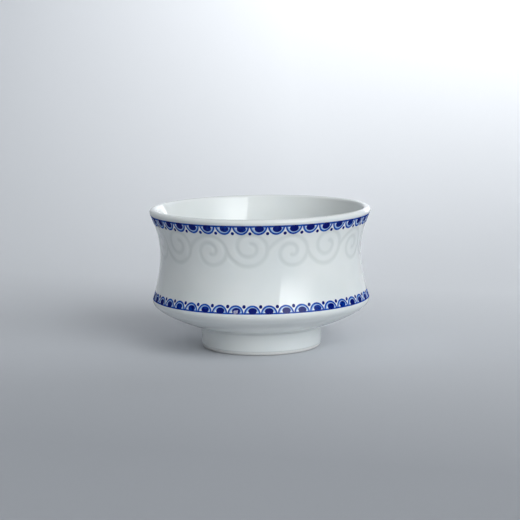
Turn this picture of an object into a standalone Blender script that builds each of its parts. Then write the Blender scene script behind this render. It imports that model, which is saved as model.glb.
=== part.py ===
"""A small waisted porcelain teacup: turned body, foot ring, two cobalt borders and an inlaid scroll frieze.

Metres, +Z up. The origin is on the cup's axis, in the plane that the foot rests on.
"""

import math

import bpy

# Outside of the cup
RIM_RADIUS = 0.0340
RIM_HEIGHT = 0.0422
LIP_RISE = 0.0010
LIP_WIDTH = 0.0025
WAIST_RADIUS = 0.03088
WAIST_HEIGHT = 0.0289
SHOULDER_RADIUS = 0.0334
SHOULDER_HEIGHT = 0.0153
UPPER_FLARE_POWER = 2.0
LOWER_FLARE_POWER = 1.7

# Underside, from the foot's crease out to the shoulder, as a quarter of a superellipse
UNDERSIDE_CENTRE_RADIUS = 0.0170
UNDERSIDE_DROP = 0.00815
UNDERSIDE_POWER = 1.75
UNDERSIDE_POINTS = 6

# Inside of the cup
FLOOR_HEIGHT = 0.0104
FLOOR_FLAT_RADIUS = 0.0100
BOWL_TOP_HEIGHT = 0.0180
BOWL_POWER = 2.6
BOWL_POINTS = 7
WALL_AT_BOWL_TOP = 0.0030
WALL_POINTS = 5

# Foot ring
FOOT_TOP_RADIUS = 0.0186
FOOT_EDGE_RADIUS = 0.0184
FOOT_REST_OUTER_RADIUS = 0.0172
FOOT_REST_INNER_RADIUS = 0.0163
FOOT_INNER_RADIUS = 0.0154
FOOT_EDGE_HEIGHT = 0.0012
BASE_HEIGHT = 0.0069

# Printed borders and inlaid scrolls lie flush with the wall, in shallow recesses
INLAY_DEPTH = 0.00025
GAP = 0.0003
UPPER_BORDER = (0.0386, 0.0416)
LOWER_BORDER = (0.0156, 0.0181)
FRIEZE_FOOT = 0.0280

# Scroll frieze: a small and a large scroll in each of the repeats around the cup
REPEATS = 8
LINE_WIDTH = 0.0008
FIRST_SMALL_ANGLE = math.radians(-27.7)
LARGE_FROM_SMALL_ANGLE = math.radians(20.9)
STATIONS_A_TURN = 12
STEM_RISE = 0.0016
SMALL_SCROLL = {
    "centre_height": 0.0329,
    "start_radius": 0.0041,
    "radius_lost_a_turn": 0.0023,
    "turns": 1.4,
    "squash": 1.05,
    "start_side": 1.0,
}
LARGE_SCROLL = {
    "centre_height": 0.0338,
    "start_radius": 0.0062,
    "radius_lost_a_turn": 0.0025,
    "turns": 2.0,
    "squash": 0.90,
    "start_side": -1.0,
}

SEGMENTS = 64
MERGE_DISTANCE = 0.00001
SHARP_ANGLE = math.radians(30.0)
FRONT_ANGLE = math.radians(-90.0)
PORCELAIN = ((0.80, 0.83, 0.84, 1.0), 0.12)
COBALT = ((0.012, 0.022, 0.20, 1.0), 0.12)
INLAY_GLAZE = ((0.60, 0.66, 0.64, 1.0), 0.10)


def clear_scene():
    """Remove every object that the file already holds."""
    for old in list(bpy.data.objects):
        bpy.data.objects.remove(old, do_unlink=True)


def new_collection(name):
    """Make a collection under the scene's own."""
    collection = bpy.data.collections.new(name)
    bpy.context.scene.collection.children.link(collection)
    return collection


def glazed_material(name, look):
    """Make a non-metallic Principled material from a colour and a roughness."""
    colour, roughness = look
    material = bpy.data.materials.new(name)
    material.use_nodes = True
    shader = material.node_tree.nodes["Principled BSDF"]
    shader.inputs["Base Color"].default_value = colour
    shader.inputs["Roughness"].default_value = roughness
    shader.inputs["Metallic"].default_value = 0.0
    return material


def wall_radius(height):
    """Radius of the waisted outer wall at a height between the shoulder and the rim."""
    if height >= WAIST_HEIGHT:
        share = (height - WAIST_HEIGHT) / (RIM_HEIGHT - WAIST_HEIGHT)
        return WAIST_RADIUS + (RIM_RADIUS - WAIST_RADIUS) * share**UPPER_FLARE_POWER
    share = (WAIST_HEIGHT - height) / (WAIST_HEIGHT - SHOULDER_HEIGHT)
    return WAIST_RADIUS + (SHOULDER_RADIUS - WAIST_RADIUS) * share**LOWER_FLARE_POWER


def spread(start, end, count):
    """Return count values from start to end, both included."""
    return [start + (end - start) * index / (count - 1) for index in range(count)]


def quarter_curve(centre, reach, drop, power, count):
    """Points of a quarter superellipse, from straight below its centre out to its tip."""
    points = []
    for angle in spread(0.0, math.pi / 2, count):
        across = centre[0] + reach * math.sin(angle) ** (2 / power)
        height = centre[1] - drop * math.cos(angle) ** (2 / power)
        points.append((across, height))
    return points


def inside_profile():
    """The hollow, from its floor's centre to the inner edge of the lip."""
    bowl_radius = wall_radius(BOWL_TOP_HEIGHT) - WALL_AT_BOWL_TOP
    points = [(0.0, FLOOR_HEIGHT)]
    points += quarter_curve(
        (FLOOR_FLAT_RADIUS, BOWL_TOP_HEIGHT),
        bowl_radius - FLOOR_FLAT_RADIUS,
        BOWL_TOP_HEIGHT - FLOOR_HEIGHT,
        BOWL_POWER,
        BOWL_POINTS,
    )
    for share in spread(0.0, 1.0, WALL_POINTS + 1)[1:]:
        height = BOWL_TOP_HEIGHT + (RIM_HEIGHT - BOWL_TOP_HEIGHT) * share
        thickness = WALL_AT_BOWL_TOP + (LIP_WIDTH - WALL_AT_BOWL_TOP) * share
        points.append((wall_radius(height) - thickness, height))
    return points


def lip_profile():
    """The rounded lip, from just past its inner edge to the rim."""
    half = LIP_WIDTH / 2
    middle = RIM_RADIUS - half
    return [
        (middle - half * math.cos(angle), RIM_HEIGHT + LIP_RISE * math.sin(angle))
        for angle in spread(math.pi / 4, math.pi, 4)
    ]


def wall_run(top, bottom, count, depth=0.0):
    """Points down the outer wall, from a top height to a bottom one, sunk by a depth."""
    return [(wall_radius(height) - depth, height) for height in spread(top, bottom, count)]


def outside_profile():
    """The outer wall with its two recesses, the shoulder, the underside and the base."""
    recess = INLAY_DEPTH + GAP
    upper_top = UPPER_BORDER[1] + GAP
    lower_top = LOWER_BORDER[1] + GAP
    underside = quarter_curve(
        (UNDERSIDE_CENTRE_RADIUS, SHOULDER_HEIGHT),
        SHOULDER_RADIUS - UNDERSIDE_CENTRE_RADIUS,
        UNDERSIDE_DROP,
        UNDERSIDE_POWER,
        UNDERSIDE_POINTS,
    )
    points = [(wall_radius(upper_top), upper_top)]
    points += wall_run(upper_top, FRIEZE_FOOT, 7, recess)
    points += wall_run(FRIEZE_FOOT, lower_top, 3)
    points += wall_run(lower_top, LOWER_BORDER[0] - GAP, 2, recess)
    points += reversed(underside[1:])
    points += [(FOOT_TOP_RADIUS - GAP, BASE_HEIGHT), (0.0, BASE_HEIGHT)]
    return points


def foot_profile():
    """The foot ring's closed section: down outside, across the resting face, up inside."""
    top = BASE_HEIGHT - GAP
    return [
        (FOOT_TOP_RADIUS, top),
        (FOOT_EDGE_RADIUS, FOOT_EDGE_HEIGHT),
        (FOOT_REST_OUTER_RADIUS, 0.0),
        (FOOT_REST_INNER_RADIUS, 0.0),
        (FOOT_INNER_RADIUS, FOOT_EDGE_HEIGHT),
        (FOOT_INNER_RADIUS, top),
    ]


def border_profile(bottom, top):
    """A printed band's closed section, thin and flush with the outer wall."""
    points = wall_run(top, bottom, 3)
    points += [(radius - INLAY_DEPTH, height) for radius, height in reversed(points)]
    return points


def shade_round(mesh):
    """Shade a turned mesh smooth, apart from its real edges."""
    mesh.shade_smooth()
    mesh.set_sharp_from_angle(angle=SHARP_ANGLE)


def turned_piece(name, profile, closed, material, collection):
    """Turn a section about the cup's axis with a Screw modifier."""
    mesh = bpy.data.meshes.new(name)
    edges = [(index, index + 1) for index in range(len(profile) - 1)]
    if closed:
        edges.append((len(profile) - 1, 0))
    mesh.from_pydata([(radius, 0.0, height) for radius, height in profile], edges, [])
    mesh.materials.append(material)
    piece = bpy.data.objects.new(name, mesh)
    collection.objects.link(piece)
    screw = piece.modifiers.new("turn", "SCREW")
    screw.axis = "Z"
    screw.angle = math.tau
    screw.steps = SEGMENTS
    screw.render_steps = SEGMENTS
    screw.use_merge_vertices = True
    screw.merge_threshold = MERGE_DISTANCE
    screw.use_smooth_shade = True
    return piece


def scroll_line(shape):
    """Centre line of a scroll on the unrolled wall: its stem, then a spiral inwards.

    Each point is (distance along the wall, height); start_side says on which side it begins.
    """
    side = shape["start_side"]
    start = side * shape["start_radius"]
    stem_steps = 2
    line = [
        (start, shape["centre_height"] + STEM_RISE * (stem_steps - step) / stem_steps)
        for step in range(stem_steps)
    ]
    stations = round(shape["turns"] * STATIONS_A_TURN)
    for station in range(stations + 1):
        turn = station / STATIONS_A_TURN
        radius = shape["start_radius"] - shape["radius_lost_a_turn"] * turn
        angle = math.tau * turn
        along = side * radius * math.cos(angle)
        height = shape["centre_height"] - shape["squash"] * radius * math.sin(angle)
        line.append((along, height))
    return line


def wall_point(along, height, middle_angle):
    """The place on the outer wall of a point on the unrolled wall."""
    angle = FRONT_ANGLE + middle_angle + along / WAIST_RADIUS
    radius = wall_radius(height)
    return (radius * math.cos(angle), radius * math.sin(angle), height)


def scroll_piece(name, shape, middle_angle, material, collection):
    """Lay a scroll's line on the wall as a ribbon, and give it its depth with Solidify."""
    line = scroll_line(shape)
    points = []
    for index, (along, height) in enumerate(line):
        before = line[max(index - 1, 0)]
        after = line[min(index + 1, len(line) - 1)]
        run = (after[0] - before[0], after[1] - before[1])
        half = LINE_WIDTH / 2 / math.hypot(*run)
        for hand in (-half, half):
            points.append(wall_point(along - hand * run[1], height + hand * run[0], middle_angle))
    faces = [
        (2 * index, 2 * index + 2, 2 * index + 3, 2 * index + 1) for index in range(len(line) - 1)
    ]
    mesh = bpy.data.meshes.new(name)
    mesh.from_pydata(points, [], faces)
    mesh.materials.append(material)
    shade_round(mesh)
    piece = bpy.data.objects.new(name, mesh)
    collection.objects.link(piece)
    depth = piece.modifiers.new("inlay depth", "SOLIDIFY")
    depth.thickness = INLAY_DEPTH
    depth.offset = -1.0
    return piece


def build():
    """Make every piece of the cup."""
    clear_scene()
    cup = new_collection("teacup")
    porcelain = glazed_material("porcelain_glaze", PORCELAIN)
    foot_porcelain = glazed_material("foot_porcelain_glaze", PORCELAIN)
    upper_cobalt = glazed_material("upper_cobalt_print", COBALT)
    lower_cobalt = glazed_material("lower_cobalt_print", COBALT)

    body = inside_profile() + lip_profile() + outside_profile()
    turned_piece("porcelain_body", body, False, porcelain, cup)
    turned_piece("foot_ring", foot_profile(), True, foot_porcelain, cup)
    turned_piece("upper_border", border_profile(*UPPER_BORDER), True, upper_cobalt, cup)
    turned_piece("lower_border", border_profile(*LOWER_BORDER), True, lower_cobalt, cup)

    for repeat in range(REPEATS):
        number = repeat + 1
        small_angle = FIRST_SMALL_ANGLE + math.tau * repeat / REPEATS
        large_angle = small_angle + LARGE_FROM_SMALL_ANGLE
        small_glaze = glazed_material(f"small_scroll_glaze_{number}", INLAY_GLAZE)
        large_glaze = glazed_material(f"large_scroll_glaze_{number}", INLAY_GLAZE)
        scroll_piece(f"small_scroll_{number}", SMALL_SCROLL, small_angle, small_glaze, cup)
        scroll_piece(f"large_scroll_{number}", LARGE_SCROLL, large_angle, large_glaze, cup)


build()
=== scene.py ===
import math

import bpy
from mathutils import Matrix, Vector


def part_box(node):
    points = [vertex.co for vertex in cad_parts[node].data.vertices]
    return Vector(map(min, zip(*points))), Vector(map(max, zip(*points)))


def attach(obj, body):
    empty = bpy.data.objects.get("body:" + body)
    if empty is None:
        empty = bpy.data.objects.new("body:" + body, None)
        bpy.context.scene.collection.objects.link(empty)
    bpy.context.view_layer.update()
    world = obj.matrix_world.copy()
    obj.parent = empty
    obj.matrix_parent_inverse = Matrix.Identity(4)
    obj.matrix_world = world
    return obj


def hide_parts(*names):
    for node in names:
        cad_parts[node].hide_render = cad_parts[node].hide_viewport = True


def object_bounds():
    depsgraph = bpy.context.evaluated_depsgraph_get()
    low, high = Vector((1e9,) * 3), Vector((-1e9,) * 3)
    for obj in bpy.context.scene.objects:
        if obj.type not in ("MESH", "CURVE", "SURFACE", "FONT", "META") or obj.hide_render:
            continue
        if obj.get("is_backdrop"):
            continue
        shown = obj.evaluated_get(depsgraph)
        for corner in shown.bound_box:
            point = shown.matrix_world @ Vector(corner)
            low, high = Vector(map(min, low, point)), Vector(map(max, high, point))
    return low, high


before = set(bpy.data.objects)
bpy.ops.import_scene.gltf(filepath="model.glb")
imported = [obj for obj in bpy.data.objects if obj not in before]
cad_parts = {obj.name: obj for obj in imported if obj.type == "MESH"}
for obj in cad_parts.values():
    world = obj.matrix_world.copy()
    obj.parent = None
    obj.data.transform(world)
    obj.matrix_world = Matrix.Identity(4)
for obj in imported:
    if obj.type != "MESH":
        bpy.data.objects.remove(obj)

# %% [markdown]
# # A small porcelain teacup
#
# This lesson finishes a waisted porcelain teacup around its CAD frame. The real cup is one of the plainest
# things a potter makes, so everything depends on three things: a clean turned outline, a clear glaze that
# reflects the room, and decoration that follows the wall. There are two printed cobalt borders, and between
# them a frieze of scrolls cut into the clay before glazing.
#
# Every length is in metres, the cup stands on z = 0, and its axis is the Z axis. The front is towards -Y.

MM = 0.001
cad_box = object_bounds()
rim_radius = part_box("porcelain_body")[1].x
cup_height = cad_box[1].z
base_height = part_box("porcelain_body")[0].z
foot_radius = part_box("foot_ring")[1].x
print(f"rim radius {rim_radius / MM:.1f} mm, height {cup_height / MM:.1f} mm")
print(f"base at {base_height / MM:.1f} mm, foot radius {foot_radius / MM:.1f} mm")

# %% [markdown]
# ## A bench for nodes
#
# Geometry Nodes and shader nodes are both trees of small boxes. Writing `radius * cos(angle)` as boxes and
# links takes four lines and hides the thought. One small class, `Wire`, wraps a socket and overloads Python's
# operators, so that an expression adds its own Math nodes. A second one, `Bench`, holds the tree and has a
# single method, `put`, for every other kind of node. The alternative is to write every link by hand, which
# is longer and much harder to check.


# %% Wires: sockets that take part in Python expressions
class Wire:
    """An output socket on a bench, which adds Math nodes when it is used in an expression."""

    def __init__(self, bench, socket):
        self.bench = bench
        self.socket = socket

    def out(self, name):
        """Another output of the same node."""
        return Wire(self.bench, self.socket.node.outputs[name])

    def __add__(self, other):
        return self.bench.maths("ADD", self, other)

    def __radd__(self, other):
        return self.bench.maths("ADD", other, self)

    def __sub__(self, other):
        return self.bench.maths("SUBTRACT", self, other)

    def __rsub__(self, other):
        return self.bench.maths("SUBTRACT", other, self)

    def __mul__(self, other):
        return self.bench.maths("MULTIPLY", self, other)

    def __rmul__(self, other):
        return self.bench.maths("MULTIPLY", other, self)

    def __truediv__(self, other):
        return self.bench.maths("DIVIDE", self, other)

    def __rtruediv__(self, other):
        return self.bench.maths("DIVIDE", other, self)

    def __pow__(self, other):
        return self.bench.maths("POWER", self, other)

    def __neg__(self):
        return self.bench.maths("MULTIPLY", self, -1.0)


# %% The bench that holds a node tree
class Bench:
    """A node tree under construction."""

    def __init__(self, tree):
        self.tree = tree

    def put(self, kind, settings=None, inputs=None):
        """Add a node: its type, its settings, then the values or wires of its sockets."""
        node = self.tree.nodes.new(kind)
        for name, value in (settings or {}).items():
            setattr(node, name, value)
        for name, value in (inputs or {}).items():
            self.feed(node.inputs[name], value)
        shown = [socket for socket in node.outputs if socket.enabled]
        return Wire(self, shown[0]) if shown else node

    def feed(self, socket, value):
        """Link a wire to a socket, or set the socket's own value."""
        if isinstance(value, (list, tuple)) and value and isinstance(value[0], Wire):
            for wire in value:
                self.tree.links.new(wire.socket, socket)
        elif isinstance(value, Wire):
            self.tree.links.new(value.socket, socket)
        else:
            socket.default_value = value

    def maths(self, operation, *values):
        """Add one Math node."""
        inputs = dict(enumerate(values))
        return self.put("ShaderNodeMath", {"operation": operation}, inputs)

    def smooth_step(self, value, low, high):
        """Rise smoothly from 0 to 1 as value goes from low to high."""
        return self.put(
            "ShaderNodeMapRange",
            {"interpolation_type": "SMOOTHSTEP"},
            {"Value": value, "From Min": low, "From Max": high},
        )


def larger(first, second):
    """The larger of two numbers or wires."""
    for value in (first, second):
        if isinstance(value, Wire):
            return value.bench.maths("MAXIMUM", first, second)
    return max(first, second)


print(f"larger(2, 3) = {larger(2, 3)}")

# %% [markdown]
# ## The outline of the cup
#
# A potter's cup is a body of revolution: one outline, turned. The wall narrows to a waist and flares again to
# the rim, and two power curves that meet at the waist follow that shape closely. `wall_radius` gives the
# radius at any height. Because it is made only of arithmetic and `larger`, it works on a Python number and
# on a wire alike, so the printed borders and the frieze sit exactly on the wall that it describes. A
# drawn Bezier outline would do for the silhouette alone, but the decoration could not be laid on it by rule.

# %% Driving sizes of the outline
WAIST_RADIUS = 30.88 * MM
WAIST_HEIGHT = 28.9 * MM
RIM_HEIGHT = 42.2 * MM
SHOULDER_RADIUS = 33.4 * MM
SHOULDER_HEIGHT = 15.3 * MM
UPPER_FLARE_POWER = 2.0
LOWER_FLARE_POWER = 1.7
LIP_WIDTH = 2.5 * MM
WALL_AT_BOWL_TOP = 3.0 * MM
FLOOR_HEIGHT = 10.4 * MM
FLOOR_FLAT_RADIUS = 10.0 * MM
BOWL_TOP_HEIGHT = 18.0 * MM
BOWL_POWER = 2.6
INSIDE_TOP = 42.4 * MM
LIP_FROM = math.radians(145.0)
LIP_TO = math.radians(-20.0)


def wall_radius(height):
    """Radius of the outer wall at a height between the shoulder and the rim."""
    above = larger((height - WAIST_HEIGHT) / (RIM_HEIGHT - WAIST_HEIGHT), 0.0)
    below = larger((WAIST_HEIGHT - height) / (WAIST_HEIGHT - SHOULDER_HEIGHT), 0.0)
    flare_up = above**UPPER_FLARE_POWER * (rim_radius - WAIST_RADIUS)
    flare_down = below**LOWER_FLARE_POWER * (SHOULDER_RADIUS - WAIST_RADIUS)
    return flare_up + flare_down + WAIST_RADIUS


print(f"waist {wall_radius(WAIST_HEIGHT) / MM:.2f} mm, shoulder {wall_radius(SHOULDER_HEIGHT) / MM:.2f} mm")


# %% Pieces of outline
def spread(start, end, count):
    """Return count values from start to end, both included."""
    return [start + (end - start) * index / (count - 1) for index in range(count)]


def quarter_curve(centre, reach, drop, power, count):
    """A quarter of a superellipse, from straight below its centre out to its tip."""
    points = []
    for angle in spread(0.0, math.pi / 2, count):
        across = centre[0] + reach * math.sin(angle) ** (2 / power)
        points.append((across, centre[1] - drop * math.cos(angle) ** (2 / power)))
    return points


def bend(start, corner, end, count):
    """A soft corner: a quadratic curve from start to end that is drawn towards corner."""
    points = []
    for share in spread(0.0, 1.0, count):
        keep = 1.0 - share
        weights = (keep * keep, 2.0 * keep * share, share * share)
        points.append(
            tuple(sum(w * p[axis] for w, p in zip(weights, (start, corner, end))) for axis in (0, 1))
        )
    return points


# %% The hollow and the lip
def inside_outline():
    """From the floor's centre, out along the bowl and up to the lip."""
    bowl_radius = wall_radius(BOWL_TOP_HEIGHT) - WALL_AT_BOWL_TOP
    points = [(FLOOR_FLAT_RADIUS * share, FLOOR_HEIGHT) for share in spread(0.0, 1.0, 5)[:-1]]
    points += quarter_curve(
        (FLOOR_FLAT_RADIUS, BOWL_TOP_HEIGHT),
        bowl_radius - FLOOR_FLAT_RADIUS,
        BOWL_TOP_HEIGHT - FLOOR_HEIGHT,
        BOWL_POWER,
        16,
    )
    for share in spread(0.0, 1.0, 11)[1:]:
        height = BOWL_TOP_HEIGHT + (INSIDE_TOP - BOWL_TOP_HEIGHT) * share
        thickness = WALL_AT_BOWL_TOP + (LIP_WIDTH - WALL_AT_BOWL_TOP) * share
        points.append((wall_radius(height) - thickness, height))
    return points


def lip_outline():
    """Over the rounded lip, from inside to outside."""
    half = LIP_WIDTH / 2
    rise = cup_height - RIM_HEIGHT
    return [
        (rim_radius - half + half * math.cos(angle), RIM_HEIGHT + rise * math.sin(angle))
        for angle in spread(LIP_FROM, LIP_TO, 12)
    ]


# %% The wall, the shoulder and the underside
WALL_TOP = 41.4 * MM
FRIEZE_ROW = 0.26 * MM
FRIEZE_TOP = 38.6 * MM
FRIEZE_FOOT = 28.0 * MM
SHOULDER_TIP = (33.62 * MM, 14.1 * MM)
SHOULDER_END = (32.42 * MM, 13.05 * MM)
CONE_CORNER = (31.95 * MM, 12.62 * MM)
CONE_START = (31.3 * MM, 12.1 * MM)
CONE_MIDDLE = (27.2 * MM, 9.5 * MM)
CONE_END = (21.4 * MM, 7.5 * MM)
BASE_CORNER = (19.6 * MM, 6.95 * MM)
BASE_RADIUS = 18.0 * MM


def outside_outline():
    """Down the outer wall, round the shoulder, in along the cone and across the base."""
    rows = round((FRIEZE_TOP - FRIEZE_FOOT) / FRIEZE_ROW)
    heights = spread(WALL_TOP, FRIEZE_TOP, 6)[:-1]
    heights += spread(FRIEZE_TOP, FRIEZE_FOOT, rows)
    heights += spread(FRIEZE_FOOT, SHOULDER_HEIGHT, 15)[1:]
    points = [(wall_radius(height), height) for height in heights]
    points += bend(points[-1], SHOULDER_TIP, SHOULDER_END, 10)[1:]
    points += bend(SHOULDER_END, CONE_CORNER, CONE_START, 7)[1:]
    points += bend(CONE_START, CONE_MIDDLE, CONE_END, 11)[1:]
    points += bend(CONE_END, BASE_CORNER, (BASE_RADIUS, base_height), 5)[1:]
    points += [(BASE_RADIUS * share, base_height) for share in spread(1.0, 0.0, 5)[1:]]
    return points


wall_outline = inside_outline() + lip_outline() + outside_outline()
print(f"wall outline: {len(wall_outline)} points, {len(lip_outline())} of them over the lip")


# %% [markdown]
# ## The frieze's centre lines
#
# Between the borders runs a frieze of scrolls: a small one, a large one, then the same again, eight times
# round. A line rises from each large scroll, passes over the next small scroll and comes down its right
# side. There it forks: one branch curls into the small scroll, the other sweeps under the next large one.
# Each scroll is a spiral that loses the same radius in every turn, so it is a formula, not a drawing. Two
# short Bezier curves make the links. The tree draws one repeat on the flat, in distance along the wall and
# height, makes eight instances of it, and then wraps the whole strip round the waist.


# %% Making trees and pieces
def new_bench(name, sizes):
    """A Geometry Nodes tree with named inputs, given as name and socket type."""
    tree = bpy.data.node_groups.new(name, "GeometryNodeTree")
    tree.interface.new_socket(name="Geometry", in_out="OUTPUT", socket_type="NodeSocketGeometry")
    for label, kind in sizes.items():
        tree.interface.new_socket(name=label, in_out="INPUT", socket_type="NodeSocket" + kind)
    bench = Bench(tree)
    given = tree.nodes.new("NodeGroupInput")
    wires = {label: Wire(bench, given.outputs[label]) for label in sizes}
    return bench, wires


def end_tree(bench, geometry, material=None):
    """End a tree in Realize Instances and, for a visible piece, Set Material."""
    geometry = bench.put("GeometryNodeRealizeInstances", inputs={"Geometry": geometry})
    if material is not None:
        geometry = bench.put(
            "GeometryNodeSetMaterial", inputs={"Geometry": geometry, "Material": material}
        )
    bench.put("NodeGroupOutput", inputs={"Geometry": geometry})
    return bench.tree


def make(name, tree, sizes):
    """Run a tree once, with its inputs set by identifier, and keep the result as a plain mesh."""
    piece = bpy.data.objects.new(name, bpy.data.meshes.new(name + "_seed"))
    bpy.context.scene.collection.objects.link(piece)
    modifier = piece.modifiers.new("make", "NODES")
    modifier.node_group = tree
    for item in tree.interface.items_tree:
        if item.in_out == "INPUT" and item.name in sizes:
            modifier[item.identifier] = sizes[item.name]
    graph = bpy.context.evaluated_depsgraph_get()
    mesh = bpy.data.meshes.new_from_object(
        piece.evaluated_get(graph), preserve_all_data_layers=True, depsgraph=graph
    )
    piece.modifiers.clear()
    piece.data = mesh
    mesh.name = name
    print(f"{name}: {len(mesh.vertices)} points, {len(mesh.polygons)} faces")
    return piece


# %% Spirals, links and the wrap round the wall
REPEATS = 8
FRONT = math.radians(-90.0)
TURN_STEPS = 48


def scroll(bench, centre, shape, side, turns):
    """
    A spiral on the flat, as a chain of short edges.

    centre is (along, height). shape is the radius at turn 0, the radius lost in each turn, and how much
    lower than wide it is. side tells on which side turn 0 lies. turns are the first and the last one; before
    turn 0 the radius stays the same.
    """
    middle, height = centre
    start_radius, lost_a_turn, squash = shape
    first, last = turns
    count = round((last - first) * TURN_STEPS) + 1
    line = bench.put("GeometryNodeMeshLine", inputs={"Count": count})
    turn = bench.put("GeometryNodeInputIndex") / TURN_STEPS + first
    radius = start_radius - larger(turn, 0.0) * lost_a_turn
    angle = turn * math.tau
    along = middle + bench.maths("COSINE", angle) * radius * side
    rise = height - bench.maths("SINE", angle) * radius * squash
    place = bench.put("ShaderNodeCombineXYZ", inputs={"X": along, "Y": 0.0, "Z": rise})
    return bench.put("GeometryNodeSetPosition", inputs={"Geometry": line, "Position": place})


def link(bench, points):
    """A Bezier link on the flat through four (along, height) points."""
    ends = [(along, 0.0, height) for along, height in points]
    curve = bench.put(
        "GeometryNodeCurvePrimitiveBezierSegment",
        inputs={
            "Resolution": 24,
            "Start": ends[0],
            "Start Handle": ends[1],
            "End Handle": ends[2],
            "End": ends[3],
        },
    )
    return bench.put("GeometryNodeCurveToMesh", inputs={"Curve": curve})


def wrap(bench, geometry, along, height, proud=0.0):
    """Move geometry from the flat strip onto the outer wall."""
    angle = along / WAIST_RADIUS + FRONT
    radius = wall_radius(height) + proud
    place = bench.put(
        "ShaderNodeCombineXYZ",
        inputs={
            "X": bench.maths("COSINE", angle) * radius,
            "Y": bench.maths("SINE", angle) * radius,
            "Z": height,
        },
    )
    return bench.put("GeometryNodeSetPosition", inputs={"Geometry": geometry, "Position": place})


# %% The frieze tree
DEGREE = WAIST_RADIUS * math.radians(1.0)
SMALL_MIDDLE = -28.4 * DEGREE
LARGE_MIDDLE = -6.2 * DEGREE
REPEAT_LENGTH = math.tau * WAIST_RADIUS / REPEATS
SMALL_HEIGHT = 33.2 * MM
SMALL_RADIUS = 5.05 * MM
SMALL_LOSS = 3.35 * MM
SMALL_SQUASH = 0.96
SMALL_TURNS = (-0.25, 1.22)
LARGE_HEIGHT = 34.55 * MM
LARGE_RADIUS = 6.6 * MM
LARGE_LOSS = 3.05 * MM
LARGE_SQUASH = 0.95
LARGE_TURNS = (0.12, 1.68)
FROM_THE_RIGHT = 1.0
FROM_THE_LEFT = -1.0


def frieze_tree():
    """One repeat of the frieze on the flat, instanced round the wall."""
    bench, given = new_bench("scroll frieze", {"Repeats": "Int", "Repeat Length": "Float"})
    small = scroll(
        bench,
        (SMALL_MIDDLE, SMALL_HEIGHT),
        (SMALL_RADIUS, SMALL_LOSS, SMALL_SQUASH),
        FROM_THE_RIGHT,
        SMALL_TURNS,
    )
    large = scroll(
        bench,
        (LARGE_MIDDLE, LARGE_HEIGHT),
        (LARGE_RADIUS, LARGE_LOSS, LARGE_SQUASH),
        FROM_THE_LEFT,
        LARGE_TURNS,
    )
    small_right = SMALL_MIDDLE + SMALL_RADIUS
    fork = link(
        bench,
        [
            (small_right - 0.1 * MM, 34.3 * MM),
            (small_right + 0.2 * MM, 32.9 * MM),
            (small_right + 1.0 * MM, 31.5 * MM),
            (LARGE_MIDDLE - 4.54 * MM, 30.5 * MM),
        ],
    )
    large_right = LARGE_MIDDLE + 5.05 * MM
    next_small = SMALL_MIDDLE + REPEAT_LENGTH
    rise = link(
        bench,
        [
            (large_right - 0.05 * MM, 33.2 * MM),
            (large_right + 0.35 * MM, 34.9 * MM),
            (next_small - 3.0 * MM, 38.1 * MM),
            (next_small, SMALL_HEIGHT + SMALL_SQUASH * SMALL_RADIUS),
        ],
    )
    repeat = bench.put("GeometryNodeJoinGeometry", inputs={"Geometry": [small, large, fork, rise]})
    spots = bench.put("GeometryNodeMeshLine", inputs={"Count": given["Repeats"]})
    step = bench.put("GeometryNodeInputIndex") * given["Repeat Length"]
    spots = bench.put(
        "GeometryNodeSetPosition",
        inputs={
            "Geometry": spots,
            "Position": bench.put("ShaderNodeCombineXYZ", inputs={"X": step}),
        },
    )
    strip = bench.put("GeometryNodeInstanceOnPoints", inputs={"Points": spots, "Instance": repeat})
    strip = bench.put("GeometryNodeRealizeInstances", inputs={"Geometry": strip})
    place = bench.put("ShaderNodeSeparateXYZ", inputs={0: bench.put("GeometryNodeInputPosition")})
    return end_tree(bench, wrap(bench, strip, place.out("X"), place.out("Z")))


frieze_lines = make(
    "frieze_lines", frieze_tree(), {"Repeats": REPEATS, "Repeat Length": REPEAT_LENGTH}
)
print(f"{REPEATS} repeats, each {REPEAT_LENGTH / MM:.1f} mm along the waist")

# %% [markdown]
# ## Turning the wall and cutting the frieze
#
# The wall could be a Screw modifier on the outline, but then the frieze could only be faked in the
# material. This tree turns the outline itself: it lays a grid with one row for each point of the outline,
# carries each row round the axis, merges the seam and the two poles, and turns the faces outwards. Then
# Geometry Proximity measures how far every point is from the frieze's centre lines, and a smooth groove is
# pressed into the surface there, as a tool presses leather-hard clay. The same measure is kept as the
# attribute `cut`, because glaze pools in a groove and looks greener there.


# %% The turning tree
WELD = 0.002 * MM


def turn_outline(bench, outline, columns):
    """Carry an outline round the axis: one ring of points for each of its points."""
    rows = bench.put(
        "GeometryNodeAttributeDomainSize", {"component": "MESH"}, {"Geometry": outline}
    ).out("Point Count")
    grid = bench.put(
        "GeometryNodeMeshGrid",
        inputs={
            "Size X": 1.0,
            "Size Y": 1.0,
            "Vertices X": columns + 1.0,
            "Vertices Y": rows,
        },
    )
    index = bench.put("GeometryNodeInputIndex")
    column = bench.maths("FLOOR", (index + 0.5) / rows)
    row = index - column * rows
    spot = bench.put(
        "GeometryNodeSampleIndex",
        {"data_type": "FLOAT_VECTOR", "domain": "POINT"},
        {"Geometry": outline, "Value": bench.put("GeometryNodeInputPosition"), "Index": row + 0.5},
    )
    parts = bench.put("ShaderNodeSeparateXYZ", inputs={0: spot})
    angle = column * math.tau / columns
    place = bench.put(
        "ShaderNodeCombineXYZ",
        inputs={
            "X": bench.maths("COSINE", angle) * parts.out("X"),
            "Y": bench.maths("SINE", angle) * parts.out("X"),
            "Z": parts.out("Z"),
        },
    )
    turned = bench.put("GeometryNodeSetPosition", inputs={"Geometry": grid, "Position": place})
    turned = bench.put("GeometryNodeMergeByDistance", inputs={"Geometry": turned, "Distance": WELD})
    return bench.put("GeometryNodeFlipFaces", inputs={"Mesh": turned})


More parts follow.
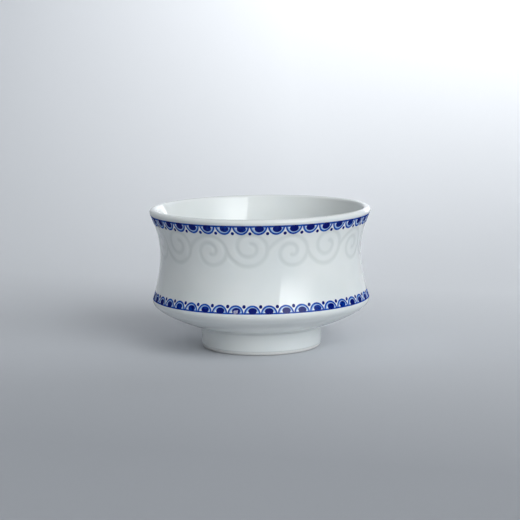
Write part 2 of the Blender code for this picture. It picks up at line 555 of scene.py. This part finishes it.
def turning_tree():
    """Turn an outline, then press the grooves of a set of lines into it."""
    bench, given = new_bench(
        "turned and cut",
        {
            "Outline": "Object",
            "Columns": "Int",
            "Cut Lines": "Object",
            "Cut Depth": "Float",
            "Cut Flat": "Float",
            "Cut Edge": "Float",
            "Glaze": "Material",
        },
    )
    outline = bench.put("GeometryNodeObjectInfo", inputs={"Object": given["Outline"]}).out("Geometry")
    turned = turn_outline(bench, outline, given["Columns"])
    lines = bench.put("GeometryNodeObjectInfo", inputs={"Object": given["Cut Lines"]}).out("Geometry")
    away = bench.put(
        "GeometryNodeProximity",
        {"target_element": "EDGES"},
        {0: lines, "Source Position": bench.put("GeometryNodeInputPosition")},
    ).out("Distance")
    cut = 1.0 - bench.smooth_step(away, given["Cut Flat"], given["Cut Edge"])
    turned = bench.put(
        "GeometryNodeStoreNamedAttribute",
        {"data_type": "FLOAT", "domain": "POINT"},
        {"Geometry": turned, "Name": "cut", "Value": cut},
    )
    stored = bench.put("GeometryNodeInputNamedAttribute", {"data_type": "FLOAT"}, {"Name": "cut"})
    push = bench.put(
        "ShaderNodeVectorMath",
        {"operation": "SCALE"},
        {0: bench.put("GeometryNodeInputNormal"), "Scale": stored * given["Cut Depth"] * -1.0},
    )
    turned = bench.put("GeometryNodeSetPosition", inputs={"Geometry": turned, "Offset": push})
    turned = bench.put("GeometryNodeSetShadeSmooth", inputs={"Geometry": turned})
    return end_tree(bench, turned, given["Glaze"])


def outline_object(name, points, closed=False):
    """An outline as a row of points in the XZ plane, for the turning tree to read."""
    mesh = bpy.data.meshes.new(name)
    chain = points + points[:1] if closed else points
    mesh.from_pydata([(radius, 0.0, height) for radius, height in chain], [], [])
    guide = bpy.data.objects.new(name, mesh)
    bpy.context.scene.collection.objects.link(guide)
    return guide


turn = turning_tree()
print(f"the turning tree has {len(turn.nodes)} nodes")

# %% [markdown]
# ## Glazed porcelain
#
# Porcelain is white clay under clear glass. The glass layer is what makes it look like porcelain, so the
# Principled shader gets a full coat over a base with no shine of its own, and a little light spreads below
# the surface. The colour is not one flat white: it drifts by a few per cent over centimetres, the glaze is
# thinner and whiter on the lip, it pools grey-green in the frieze's grooves, and there are a few tiny specks
# of iron. The crease over the foot is painted grey-green too. That is partly pooled glaze and partly painted
# shade where the bowl shades the foot. A bump of a few microns makes the reflections waver.

# %% Colours of the glazed clay
PORCELAIN = (0.80, 0.825, 0.82, 1.0)
PORCELAIN_COOL = (0.755, 0.79, 0.79, 1.0)
POOLED_GLAZE_AND_SHADE = (0.52, 0.57, 0.56, 1.0)
LIP_WHITE = (0.86, 0.875, 0.87, 1.0)
SPECK = (0.34, 0.30, 0.25, 1.0)
LIP_SHARE = 0.6
CREASE_SHADE_SHARE = 0.2
SPECK_SHARE = 0.45
SPECK_CELL = 6.0 * MM


def new_material(name):
    """An empty material and its bench."""
    material = bpy.data.materials.new(name)
    material.use_nodes = True
    material.node_tree.nodes.clear()
    return material, Bench(material.node_tree)


def mix(bench, share, first, second):
    """Mix two colours. The node repeats its names for each data type, so sockets go by number here."""
    node = bench.put(
        "ShaderNodeMix",
        {"data_type": "RGBA"},
        {0: share, 6: first, 7: second},
    )
    return Wire(bench, node.socket.node.outputs[2])


def noise(bench, place, size, detail=2.0):
    """Smooth noise whose features are about size across, in metres."""
    return bench.put(
        "ShaderNodeTexNoise", inputs={"Vector": place, "Scale": 1.0 / size, "Detail": detail}
    )


def object_place(bench):
    """Object coordinates, and their three parts."""
    place = bench.put("ShaderNodeTexCoord").out("Object")
    parts = bench.put("ShaderNodeSeparateXYZ", inputs={0: place})
    return place, parts.out("X"), parts.out("Y"), parts.out("Z")


def clay_colour(bench, place, across, height):
    """The white of the glazed clay, with its drift, lip, crease (pooled glaze and painted shade) and specks.
    """
    drift = bench.smooth_step(noise(bench, place, 18.0 * MM), 0.35, 0.7)
    colour = mix(bench, drift, PORCELAIN, PORCELAIN_COOL)
    lip = bench.smooth_step(height, cup_height - 0.9 * MM, cup_height - 0.1 * MM)
    colour = mix(bench, lip * LIP_SHARE, colour, LIP_WHITE)
    # Painted shade: the crease under the bowl, next to the foot, is pulled towards darker grey-green glaze.
    near_crease = 1.0 - bench.smooth_step(height, base_height + 0.1 * MM, base_height + 0.9 * MM)
    under_bowl = bench.smooth_step(height, base_height - 0.9 * MM, base_height)
    outside = bench.smooth_step(across, foot_radius - 0.6 * MM, foot_radius)
    colour = mix(bench, near_crease * under_bowl * outside * CREASE_SHADE_SHARE, colour, POOLED_GLAZE_AND_SHADE)
    grains = bench.put(
        "ShaderNodeTexVoronoi", inputs={"Vector": place, "Scale": 1.0 / SPECK_CELL, "Randomness": 1.0}
    )
    speck = 1.0 - bench.smooth_step(grains.out("Distance"), 0.012, 0.03)
    rare = bench.smooth_step(noise(bench, place, 30.0 * MM, 0.0), 0.5, 0.6)
    return mix(bench, speck * rare * SPECK_SHARE, colour, SPECK)


print(f"iron specks about {SPECK_CELL / MM:.0f} mm apart")


# %% The glaze shader
GLAZE_IOR = 1.5
COAT_ROUGHNESS = 0.03
CLAY_SCATTER = 0.12
SCATTER_DEPTH = 0.8 * MM
WAVE_HEIGHT = 0.012 * MM
PEEL_HEIGHT = 0.0006 * MM
GROOVE_SHARE = 0.34


def glaze(bench, colour, roughness, coat, bump, scatter=CLAY_SCATTER, coat_ior=GLAZE_IOR):
    """Finish a material: clay of this colour under clear glaze."""
    shader = bench.put(
        "ShaderNodeBsdfPrincipled",
        {"subsurface_method": "RANDOM_WALK"},
        {
            "Base Color": colour,
            "Roughness": roughness,
            "IOR": GLAZE_IOR,
            "Specular IOR Level": 0.0,
            "Coat Weight": coat,
            "Coat Roughness": COAT_ROUGHNESS,
            "Coat IOR": coat_ior,
            "Subsurface Weight": scatter,
            "Subsurface Radius": (1.0, 0.9, 0.75),
            "Subsurface Scale": SCATTER_DEPTH,
            "Normal": bump,
        },
    )
    bench.put("ShaderNodeOutputMaterial", inputs={"Surface": shader})


def fired_bump(bench, place):
    """Slow waves of a few microns, and a finer orange peel of the glaze."""
    waves = noise(bench, place, 9.0 * MM, 1.0) * WAVE_HEIGHT
    peel = noise(bench, place, 0.9 * MM, 1.0) * PEEL_HEIGHT
    return bench.put(
        "ShaderNodeBump", inputs={"Strength": 1.0, "Distance": 1.0, "Height": waves + peel}
    )


def clay_roughness(bench, place):
    """The clay's own roughness, which drifts a little over the cup. The gloss comes from the coat."""
    return noise(bench, place, 14.0 * MM) * 0.08 + 0.16


def wall_material():
    """The glazed wall, with pooled glaze in the cut frieze."""
    material, bench = new_material("glazed_wall")
    place, x, y, z = object_place(bench)
    across = bench.maths("SQRT", x * x + y * y)
    colour = clay_colour(bench, place, across, z)
    cut = bench.put("ShaderNodeAttribute", {"attribute_name": "cut"}).out("Fac")
    colour = mix(bench, cut * GROOVE_SHARE, colour, POOLED_GLAZE_AND_SHADE)
    roughness = clay_roughness(bench, place)
    glaze(bench, colour, roughness, 1.0, fired_bump(bench, place))
    return material


print(f"glaze of index {GLAZE_IOR}, waves up to {WAVE_HEIGHT / MM * 1000:.0f} microns high")


# %% Turn the wall
CUT_DEPTH = 0.09 * MM
CUT_FLAT = 0.12 * MM
CUT_EDGE = 1.04 * MM
WALL_COLUMNS = 720
no_lines = outline_object("no_lines", [(1.0, 1.0), (1.0, 1.1)])
wall = make(
    "glazed_wall",
    turn,
    {
        "Outline": outline_object("wall_outline", wall_outline),
        "Columns": WALL_COLUMNS,
        "Cut Lines": frieze_lines,
        "Cut Depth": CUT_DEPTH,
        "Cut Flat": CUT_FLAT,
        "Cut Edge": CUT_EDGE,
        "Glaze": wall_material(),
    },
)

# %% [markdown]
# ## The foot ring
#
# The foot is a ring of the same clay. A cove of glaze fills the corner where it meets the bowl, and its side
# is nearly upright. The resting edge is wiped clean before firing, or it would weld itself to the kiln shelf.
# So the glaze stops in a small step and a slightly uneven line, and the last millimetre is a bevel of bare,
# matt biscuit. The ring could be a Screw modifier on this outline, but the wall's tree already turns any
# outline and closes its seam, so it is used again. Its material tells the two finishes apart by height.

# %% Outline and material of the foot
REST_OUTER_RADIUS = 17.2 * MM
REST_INNER_RADIUS = 16.3 * MM
FOOT_EDGE_RADIUS = 18.4 * MM
FOOT_INNER_RADIUS = 15.4 * MM
FOOT_EDGE_HEIGHT = 1.2 * MM
COVE = 0.9 * MM
GLAZE_STEP = 0.1 * MM
BISCUIT = (0.80, 0.80, 0.79, 1.0)
BISCUIT_GRAIN = (0.72, 0.715, 0.70, 1.0)
FOOT_COLUMNS = 360


def foot_outline():
    """The closed outline of the ring: down outside, over the bevel and the resting edge, up inside."""
    top = base_height + 0.15 * MM
    cove_top = (foot_radius + 1.5 * MM, base_height + 0.36 * MM)
    cove_foot = (foot_radius - 0.03 * MM, base_height - COVE)
    outer = bend(cove_top, (foot_radius - 0.05 * MM, base_height + 0.12 * MM), cove_foot, 10)
    bevel = (FOOT_EDGE_RADIUS, FOOT_EDGE_HEIGHT + 0.1 * MM)
    radii = spread(cove_foot[0], bevel[0], 9)
    heights = spread(cove_foot[1], bevel[1], 9)
    outer += list(zip(radii, heights))[1:]
    bare_edge = (FOOT_EDGE_RADIUS - GLAZE_STEP, FOOT_EDGE_HEIGHT - 0.04 * MM)
    outer += bend(bevel, (FOOT_EDGE_RADIUS - 0.01 * MM, FOOT_EDGE_HEIGHT), bare_edge, 5)[1:]
    rest = bend(
        bare_edge, (FOOT_EDGE_RADIUS - 0.24 * MM, 0.1 * MM), (REST_OUTER_RADIUS - 0.1 * MM, 0.0), 12
    )[1:]
    rest += bend(
        (REST_INNER_RADIUS, 0.0),
        (FOOT_INNER_RADIUS + 0.1 * MM, 0.0),
        (FOOT_INNER_RADIUS, FOOT_EDGE_HEIGHT),
        8,
    )
    wall_top = base_height - 0.9 * MM
    inner = [(FOOT_INNER_RADIUS, height) for height in spread(FOOT_EDGE_HEIGHT, wall_top, 6)[1:]]
    inner += bend(
        (FOOT_INNER_RADIUS, base_height - 0.7 * MM),
        (FOOT_INNER_RADIUS, base_height),
        (FOOT_INNER_RADIUS - 0.8 * MM, base_height + 0.02 * MM),
        6,
    )
    return outer + rest + inner + [(FOOT_INNER_RADIUS - 0.4 * MM, top), (foot_radius - 0.6 * MM, top)]


def foot_material():
    """Glazed clay with a bare biscuit edge below."""
    material, bench = new_material("foot_glaze")
    place, x, y, z = object_place(bench)
    across = bench.maths("SQRT", x * x + y * y)
    colour = clay_colour(bench, place, across, z)
    edge = z + noise(bench, place, 4.0 * MM) * (0.25 * MM)
    bare = 1.0 - bench.smooth_step(edge, 1.25 * MM, 1.31 * MM)
    rim_of_glaze = bench.smooth_step(edge, 1.24 * MM, 1.32 * MM)
    rim_of_glaze = rim_of_glaze - bench.smooth_step(edge, 1.35 * MM, 1.65 * MM)
    colour = mix(bench, rim_of_glaze * 0.5, colour, POOLED_GLAZE_AND_SHADE)
    grain = noise(bench, place, 0.5 * MM, 3.0)
    biscuit = mix(bench, grain, BISCUIT, BISCUIT_GRAIN)
    colour = mix(bench, bare, colour, biscuit)
    roughness = bare * 0.6 + 0.2
    glaze(bench, colour, roughness, 1.0 - bare, fired_bump(bench, place))
    return material


foot = make(
    "foot",
    turn,
    {
        "Outline": outline_object("foot_outline", foot_outline(), closed=True),
        "Columns": FOOT_COLUMNS,
        "Cut Lines": no_lines,
        "Cut Depth": 0.0,
        "Cut Flat": 0.1 * MM,
        "Cut Edge": 0.2 * MM,
        "Glaze": foot_material(),
    },
)

# %% [markdown]
# ## The cobalt borders
#
# Each border is a transfer print in cobalt, laid on the clay and fired under the glaze. One cell of the
# pattern is a line, an arch that stands or hangs from it, a solid dark boss inside the arch with a pale wash
# round it, and a round dot in the valley between two arches. A print could be an image wrapped round the
# cup, or separate little meshes. Here the band is one thin mesh whose edge follows the arches and the dots,
# made by a tree, and its colours come from distance formulas in the shader. That keeps every edge crisp at
# any distance and lets the ink bleed a little into the glaze, as cobalt does.

# %% The band's shape
CELL_COLUMNS = 24
BAND_ROWS = 7
BAND_PROUD = 0.012 * MM
BAND_THICKNESS = 0.08 * MM


def band_tree():
    """A band on the wall whose free edge follows the arches and dots of the print."""
    bench, given = new_bench(
        "scalloped band",
        {
            "Cells": "Int",
            "Cell Length": "Float",
            "Line Height": "Float",
            "Direction": "Float",
            "Arch Centre": "Float",
            "Arch Half Width": "Float",
            "Arch Height": "Float",
            "Dot Height": "Float",
            "Dot Radius": "Float",
            "Turned By": "Float",
            "Print": "Material",
        },
    )
    grid = bench.put(
        "GeometryNodeMeshGrid",
        inputs={
            "Size X": 1.0,
            "Size Y": 1.0,
            "Vertices X": given["Cells"] * CELL_COLUMNS + 1.0,
            "Vertices Y": BAND_ROWS,
        },
    )
    index = bench.put("GeometryNodeInputIndex")
    column = bench.maths("FLOOR", (index + 0.5) / BAND_ROWS)
    row = index - column * BAND_ROWS
    cells = column / CELL_COLUMNS
    offset = (bench.maths("FRACT", cells) - 0.5) * given["Cell Length"]
    arch = 1.0 - (offset / given["Arch Half Width"]) ** 2.0
    arch = bench.maths("SQRT", larger(arch, 0.0)) * given["Arch Height"] + given["Arch Centre"]
    from_dot = given["Cell Length"] / 2.0 - bench.maths("ABSOLUTE", offset)
    dot = given["Dot Radius"] ** 2.0 - from_dot**2.0
    dot = bench.maths("SQRT", larger(dot, 0.0)) + given["Dot Height"]
    near = bench.maths("LESS_THAN", from_dot, given["Dot Radius"])
    reach = larger(arch, dot * near)
    height = given["Line Height"] + reach * row / (BAND_ROWS - 1.0) * given["Direction"]
    angle = (cells / given["Cells"]) * math.tau + given["Turned By"]
    band = wrap(bench, grid, angle * WAIST_RADIUS, height, BAND_PROUD)
    band = bench.put("GeometryNodeMergeByDistance", inputs={"Geometry": band, "Distance": WELD})
    band = bench.put("GeometryNodeSetShadeSmooth", inputs={"Geometry": band})
    return end_tree(bench, band, given["Print"])


bands = band_tree()
print(f"the band's tree has {len(bands.nodes)} nodes")

# %% [markdown]
# ### The print's colours
#
# The shader works in millimetres inside one cell: `along` runs round the wall from the cell's middle, and
# `up` leads away from the line. It finds the cell from the angle round the axis, so no seam shows. Each cell
# gets its own small offset and tone from a white noise on its number, because a print is never quite even.
#
# Dark ink shows every reflection, so the glaze over the print is a light coat of a high index: it shines
# where it faces the viewer, and the pale room does not wash the blue out at the cup's sides. That is a choice
# for the eye: real glaze has an index of about 1.5.

# %% Cobalt and its masks
COBALT_DEEP = (0.0005, 0.0050, 0.138, 1.0)
COBALT_BRIGHT = (0.003, 0.050, 0.36, 1.0)
COBALT_LINE = (0.003, 0.042, 0.32, 1.0)
COBALT_LINE_PALE = (0.020, 0.125, 0.50, 1.0)
WASH = (0.30, 0.48, 0.78, 1.0)
BLEED = 0.07
PRINT_SCATTER = 0.0
PRINT_COAT_IOR = 2.5
PRINT_COAT = 0.24
PRINT_COAT_LOST = 0.17
SWAY = 0.16
WASH_WIDTH = 0.42
WASH_BLEED = 0.12
WASH_SHARE = 0.9


def band_mask(bench, value, low, high, soft=BLEED):
    """1 between low and high, with soft ends."""
    rise = bench.smooth_step(value, low - soft / 2, low + soft / 2)
    fall = bench.smooth_step(value, high - soft / 2, high + soft / 2)
    return rise - fall


def cell_place(bench, size):
    """Where a point lies in its cell: along and up in millimetres, and the cell's three random numbers."""
    place, x, y, z = object_place(bench)
    angle = bench.maths("ARCTAN2", y, x) - (FRONT + size["turned_by"])
    cells = angle / math.tau * size["cells"] + size["cells"]
    number = bench.maths("FLOOR", cells)
    chance = bench.put("ShaderNodeTexWhiteNoise", {"noise_dimensions": "1D"}, {"W": number})
    luck = bench.put("ShaderNodeSeparateColor", inputs={0: chance.out("Color")})
    sway = bench.put("ShaderNodeSeparateColor", inputs={0: noise(bench, place, 1.6 * MM).out("Color")})
    pitch = size["cell_length"] / MM
    along = (bench.maths("FRACT", cells) - 0.5) * pitch + (sway.out("Red") - 0.5) * SWAY
    up = (z - size["line_height"]) / MM * size["direction"] + (sway.out("Green") - 0.5) * SWAY
    return along, up, luck


def border_material(name, size):
    """The print of one border: line, arches, bosses, wash and dots under glaze."""
    material, bench = new_material(name)
    place, x, y, z = object_place(bench)
    across = bench.maths("SQRT", x * x + y * y)
    clay = clay_colour(bench, place, across, z)
    along, up, luck = cell_place(bench, size)
    pitch = size["cell_length"] / MM
    half_width = size["arch_half_width"] / MM
    arch_height = size["arch_height"] / MM
    centre = size["arch_centre"] / MM
    ring = bench.maths("SQRT", (along / half_width) ** 2.0 + ((up - centre) / arch_height) ** 2.0)
    inside = (1.0 - ring) * ((half_width + arch_height) / 2.0)
    arch = band_mask(bench, inside, 0.02, size["stroke"] + 0.02)
    line = band_mask(bench, up, size["line_from"], size["line_to"])
    wash = band_mask(bench, inside, size["stroke"], size["stroke"] + WASH_WIDTH, WASH_BLEED)
    wash = wash * bench.smooth_step(up, size["line_to"] - 0.1, size["line_to"] + 0.1)
    boss_along = along - 0.1 + (luck.out("Red") - 0.5) * 0.3
    boss_up = up - size["boss_up"] - (luck.out("Green") - 0.5) * 0.12
    boss = bench.maths("ABSOLUTE", boss_along / size["boss_half_width"]) ** 2.0
    boss = boss + bench.maths("ABSOLUTE", boss_up / size["boss_half_height"]) ** 2.0
    boss = 1.0 - bench.smooth_step(boss, 0.86, 1.14)
    dot_along = pitch / 2.0 - bench.maths("ABSOLUTE", along)
    dot_up = up - size["dot_height"] / MM
    dot = bench.maths("SQRT", dot_along**2.0 + dot_up**2.0)
    dot = 1.0 - bench.smooth_step(dot, size["dot_radius"] / MM - 0.13, size["dot_radius"] / MM - 0.02)
    tone = bench.smooth_step(noise(bench, place, 1.1 * MM, 3.0), 0.35, 0.7)
    colour = mix(bench, wash * WASH_SHARE, clay, WASH)
    stroke_colour = mix(bench, tone, COBALT_LINE, COBALT_LINE_PALE)
    colour = mix(bench, arch, colour, stroke_colour)
    line_colour = mix(bench, tone * 0.6, COBALT_LINE, COBALT_LINE_PALE)
    colour = mix(bench, line, colour, line_colour)
    boss_colour = mix(bench, tone * luck.out("Blue"), COBALT_DEEP, COBALT_BRIGHT)
    colour = mix(bench, larger(boss, dot), colour, boss_colour)
    ink = larger(larger(boss, dot), larger(arch, line))
    roughness = clay_roughness(bench, place)
    coat = PRINT_COAT - ink * PRINT_COAT_LOST
    glaze(bench, colour, roughness, coat, fired_bump(bench, place), PRINT_SCATTER, PRINT_COAT_IOR)
    return material


print(f"ink bleeds over {BLEED} mm, the wash is {WASH_WIDTH} mm wide")


# %% The two borders' sizes
def border_sizes(cells, first_arch, line_height, direction, **print_sizes):
    """Sizes of one border. first_arch is the angle from the front to the middle of an arch."""
    cell_angle = math.tau / cells
    sizes = {
        "cells": cells,
        "direction": direction,
        "line_height": line_height,
        "cell_length": cell_angle * wall_radius(line_height + direction * MM),
        "turned_by": math.radians(first_arch) - cell_angle / 2,
    }
    sizes.update(print_sizes)
    return sizes


upper = border_sizes(
    40,
    -0.8,
    41.5 * MM,
    -1.0,
    arch_centre=0.2 * MM,
    arch_half_width=2.56 * MM,
    arch_height=2.66 * MM,
    dot_height=2.4 * MM,
    dot_radius=0.57 * MM,
    stroke=0.54,
    line_from=-0.02,
    line_to=0.55,
    boss_up=0.98,
    boss_half_width=1.38,
    boss_half_height=1.02,
)
lower = border_sizes(
    42,
    -4.6,
    15.36 * MM,
    1.0,
    arch_centre=0.1 * MM,
    arch_half_width=2.48 * MM,
    arch_height=2.54 * MM,
    dot_height=2.2 * MM,
    dot_radius=0.60 * MM,
    stroke=0.52,
    line_from=0.0,
    line_to=0.46,
    boss_up=0.98,
    boss_half_width=1.3,
    boss_half_height=0.9,
)
for label, size in (("upper", upper), ("lower", lower)):
    print(f"{label} border: {size['cells']} cells of {size['cell_length'] / MM:.2f} mm")


# %% Lay the borders on the wall
SHARP_FROM = math.radians(35.0)


def border(name, size, tree):
    """Make one border: the band from its tree, then a thin body with crisp edges."""
    band = make(
        name,
        tree,
        {
            "Cells": size["cells"],
            "Cell Length": size["cell_length"],
            "Line Height": size["line_height"],
            "Direction": size["direction"],
            "Arch Centre": size["arch_centre"],
            "Arch Half Width": size["arch_half_width"],
            "Arch Height": size["arch_height"],
            "Dot Height": size["dot_height"],
            "Dot Radius": size["dot_radius"],
            "Turned By": size["turned_by"],
            "Print": border_material(name + "_print", size),
        },
    )
    thicken = band.modifiers.new("thickness", "SOLIDIFY")
    thicken.thickness = BAND_THICKNESS
    thicken.offset = -1.0
    graph = bpy.context.evaluated_depsgraph_get()
    mesh = bpy.data.meshes.new_from_object(band.evaluated_get(graph), depsgraph=graph)
    band.modifiers.clear()
    band.data = mesh
    mesh.set_sharp_from_angle(angle=SHARP_FROM)
    return band


upper_border = border("upper_border_band", upper, bands)
lower_border = border("lower_border_band", lower, bands)

# %% [markdown]
# ## Which piece stands for which CAD node
#
# The real cup is one fired piece. The CAD model keeps the wall, the foot, the borders and the sixteen scrolls
# as separate solids, and each of them needs a visible piece that stands for it. The scrolls could be sixteen
# more pieces, but here the frieze is cut into the finished wall, so the wall stands for them too. All of it
# rides on the one body that a cup has. The guides have done their work and are removed.

# %% Tie the pieces to the frame
scroll_nodes = [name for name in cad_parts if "_scroll_" in name]
for name in ("frieze_lines", "no_lines", "wall_outline", "foot_outline"):
    bpy.data.objects.remove(bpy.data.objects[name])
for piece, slot, nodes in (
    (wall, "porcelain", ["porcelain_body"] + scroll_nodes),
    (foot, "foot_porcelain", ["foot_ring"]),
    (upper_border, "cobalt_print", ["upper_border"]),
    (lower_border, "cobalt_print", ["lower_border"]),
):
    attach(piece, "root")
    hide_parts(*nodes)
    print(f"{piece.name} stands for {len(nodes)} CAD nodes")

# %% [markdown]
# ## The studio
#
# Glossy white needs something to reflect. A pale sweep of paper runs under the cup and up behind it. The
# main light is a tall soft window to the right. It could be an area light, but a hard-edged panel leaves a
# hard-edged patch on the glaze, so the window and three weak glows are painted into the room's own light,
# with soft edges made by formula. A small lamp on the left gives the one sharp glint, and another light
# brightens the backdrop. The left side has little light, so the round wall falls away into shade.

# %% Floor and sweep
# Painted shade: the paper's colour is graded darker towards the camera and to the left.
PAPER_NEAR_PAINTED_SHADE = (0.44, 0.455, 0.49, 1.0)
PAPER_FAR = (0.83, 0.845, 0.88, 1.0)
PAPER_LEFT_PAINTED_SHADE = (0.50, 0.515, 0.545, 1.0)
DEPTH_SHADE_GRADE = (-0.14, 0.13)
SIDE_SHADE_GRADE = (-0.20, 0.02)
SHADE_SIDE_LEAN = 0.35


def paper_with_painted_shade():
    """Background paper with painted shade: darker towards the camera and to the left, with a trace of tooth.
    """
    material, bench = new_material("paper")
    place, x, y, z = object_place(bench)
    tooth = noise(bench, place, 0.8 * MM, 3.0) * 0.04
    # Painted shade: distance darkens the paper towards the camera, and side darkens it to the left.
    distance = bench.put(
        "ShaderNodeMapRange",
        inputs={
            "Value": y + z + x * SHADE_SIDE_LEAN,
            "From Min": DEPTH_SHADE_GRADE[0],
            "From Max": DEPTH_SHADE_GRADE[1],
        },
    )
    side = bench.put(
        "ShaderNodeMapRange",
        inputs={"Value": x, "From Min": SIDE_SHADE_GRADE[0], "From Max": SIDE_SHADE_GRADE[1]},
    )
    far_colour_side_shaded = mix(bench, side, PAPER_LEFT_PAINTED_SHADE, PAPER_FAR)
    colour = mix(bench, distance + tooth, PAPER_NEAR_PAINTED_SHADE, far_colour_side_shaded)
    shader = bench.put("ShaderNodeBsdfPrincipled", inputs={"Base Color": colour, "Roughness": 0.9})
    bench.put("ShaderNodeOutputMaterial", inputs={"Surface": shader})
    return material


def paper_sweep():
    """A sheet that runs flat under the cup and curves up behind it."""
    half_width, front, back, top, radius = 3.0, -2.0, 1.7, 3.0, 1.5
    line = [(front, 0.0), (back - radius, 0.0)]
    for angle in spread(0.0, math.pi / 2, 33)[1:]:
        line.append((back - radius + radius * math.sin(angle), radius - radius * math.cos(angle)))
    line.append((back, top))
    points = [(side * half_width, depth, height) for depth, height in line for side in (-1, 1)]
    faces = [(2 * i, 2 * i + 1, 2 * i + 3, 2 * i + 2) for i in range(len(line) - 1)]
    mesh = bpy.data.meshes.new("paper_sweep")
    mesh.from_pydata(points, [], faces)
    mesh.materials.append(paper_with_painted_shade())
    mesh.shade_smooth()
    sheet = bpy.data.objects.new("paper_sweep", mesh)
    bpy.context.scene.collection.objects.link(sheet)
    return sheet


paper_sweep()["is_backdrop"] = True
print("paper sweep staged")


# %% Lights
CUP_MIDDLE = Vector((0.0, 0.0, 0.03))
SWEEP_LIGHT_PLACE = Vector((0.75, 1.0, 0.55))
SWEEP_LIGHT_FROM = Vector((0.55, -0.12, 0.5))


def direction(azimuth, elevation):
    """A unit vector, in degrees: azimuth from the front to the right, elevation up from the floor."""
    turn_angle, rise = math.radians(azimuth), math.radians(elevation)
    flat = math.cos(rise)
    return Vector((math.sin(turn_angle) * flat, -math.cos(turn_angle) * flat, math.sin(rise)))


def softbox(name, azimuth, elevation, distance, size, power):
    """A rectangular area light at a direction and distance from the cup, which faces the cup."""
    lamp = bpy.data.lights.new(name, "AREA")
    lamp.shape = "RECTANGLE"
    lamp.size, lamp.size_y = size
    lamp.energy = power
    holder = bpy.data.objects.new(name, lamp)
    towards_lamp = direction(azimuth, elevation)
    holder.location = CUP_MIDDLE + towards_lamp * distance
    holder.rotation_euler = towards_lamp.to_track_quat("Z", "Y").to_euler()
    holder.visible_camera = False
    bpy.context.scene.collection.objects.link(holder)
    print(f"{name}: {power} W")
    return holder


softbox("lamp", -27.5, 21.7, 1.4, (0.11, 0.03), 0.22)
sweep_light = softbox("sweep_light", 0.0, 0.0, 1.0, (0.4, 0.4), 5.6)
sweep_light.data.spread = math.radians(110.0)
sweep_light.location = SWEEP_LIGHT_PLACE
sweep_light.rotation_euler = SWEEP_LIGHT_FROM.to_track_quat("Z", "Y").to_euler()


# %% The room and its window
ROOM_COLOUR = (0.95, 0.985, 1.0, 1.0)
SEEN_ROOM = 0.5
GLOOM = 0.02
WINDOW = 5.35
WINDOW_LEAN = 0.23
WINDOW_LEFT = (23.0, 25.0)
WINDOW_RIGHT = (32.0, 75.0)
WINDOW_FOOT = (-3.0, 19.0)
WINDOW_TOP = (26.0, 60.0)
GLOWS = ((20.0, 50.0, 0.44), (-40.0, 45.0, 0.36), (20.0, 25.0, 0.43))


def room_light():
    """
    A dim room with a tall window to the right and three weak glows.

    A ray that comes straight from the camera finds plain pale grey.
    """
    world = bpy.data.worlds.new("room")
    bpy.context.scene.world = world
    world.use_nodes = True
    world.node_tree.nodes.clear()
    bench = Bench(world.node_tree)
    way = bench.put("ShaderNodeTexCoord").out("Generated")
    parts = bench.put("ShaderNodeSeparateXYZ", inputs={0: way})
    azimuth = bench.maths("ARCTAN2", parts.out("X"), -parts.out("Y")) * (180.0 / math.pi)
    elevation = bench.maths("ARCSINE", parts.out("Z")) * (180.0 / math.pi)
    from_edge = azimuth + elevation * WINDOW_LEAN
    across = bench.smooth_step(from_edge, *WINDOW_LEFT) * (1.0 - bench.smooth_step(azimuth, *WINDOW_RIGHT))
    upright = bench.smooth_step(elevation, *WINDOW_FOOT) * (1.0 - bench.smooth_step(elevation, *WINDOW_TOP))
    strength = across * upright * WINDOW + GLOOM
    for turned, raised, power in GLOWS:
        facing = bench.put(
            "ShaderNodeVectorMath",
            {"operation": "DOT_PRODUCT"},
            {0: way, 1: direction(turned, raised)},
        )
        strength = larger(facing.out("Value"), 0.0) ** 4.0 * power + strength
    seen = bench.put("ShaderNodeLightPath").out("Is Camera Ray")
    strength = strength * (1.0 - seen) + seen * SEEN_ROOM
    light = bench.put("ShaderNodeBackground", inputs={"Color": ROOM_COLOUR, "Strength": strength})
    bench.put("ShaderNodeOutputWorld", inputs={"Surface": light})


room_light()
print(f"window {WINDOW}, with {len(GLOWS)} glows in a room of {GLOOM}")

# %% [markdown]
# ## The camera
#
# The cup is seen from a little over half a metre away and from above the rim, so the mouth is a narrow
# ellipse and the rings below it open wider towards the foot. From further away they would all be alike. The
# slight roll is that of a camera held by hand. The Standard view transform leaves the whites as they are lit.

# %% Camera
CAMERA_DISTANCE = 0.573
CAMERA_ELEVATION = math.radians(8.31)
CAMERA_ROLL = math.radians(-0.8)
CAMERA_TARGET = Vector((-0.19, 0.0, 26.62)) * MM
FIELD_OF_VIEW = math.radians(15.94)

camera = bpy.data.cameras.new("camera")
camera.lens_unit = "FOV"
camera.angle = FIELD_OF_VIEW
camera.clip_start = 0.01
camera_holder = bpy.data.objects.new("camera", camera)
bpy.context.scene.collection.objects.link(camera_holder)
towards = Vector((0.0, -math.cos(CAMERA_ELEVATION), math.sin(CAMERA_ELEVATION)))
aim = towards.to_track_quat("Z", "Y").to_matrix().to_4x4()
camera_holder.matrix_world = (
    Matrix.Translation(CAMERA_TARGET + towards * CAMERA_DISTANCE) @ aim @ Matrix.Rotation(CAMERA_ROLL, 4, "Z")
)
bpy.context.scene.camera = camera_holder
bpy.context.scene.view_settings.view_transform = "Standard"
print(f"camera {CAMERA_DISTANCE * 100:.0f} cm away, {math.degrees(CAMERA_ELEVATION):.1f} degrees up")

# %% [markdown]
# ## Does the finished cup fill its frame?
#
# The last cell measures the box of the visible pieces and the box of the CAD solids, and prints both. A
# render alone could look right at any size.

# %% Sizes, and the end
visual_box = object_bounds()
cad_size = cad_box[1] - cad_box[0]
visual_size = visual_box[1] - visual_box[0]
print(f"CAD {cad_size.x / MM:.2f} x {cad_size.y / MM:.2f} x {cad_size.z / MM:.2f} mm")
print(f"visual {visual_size.x / MM:.2f} x {visual_size.y / MM:.2f} x {visual_size.z / MM:.2f} mm")
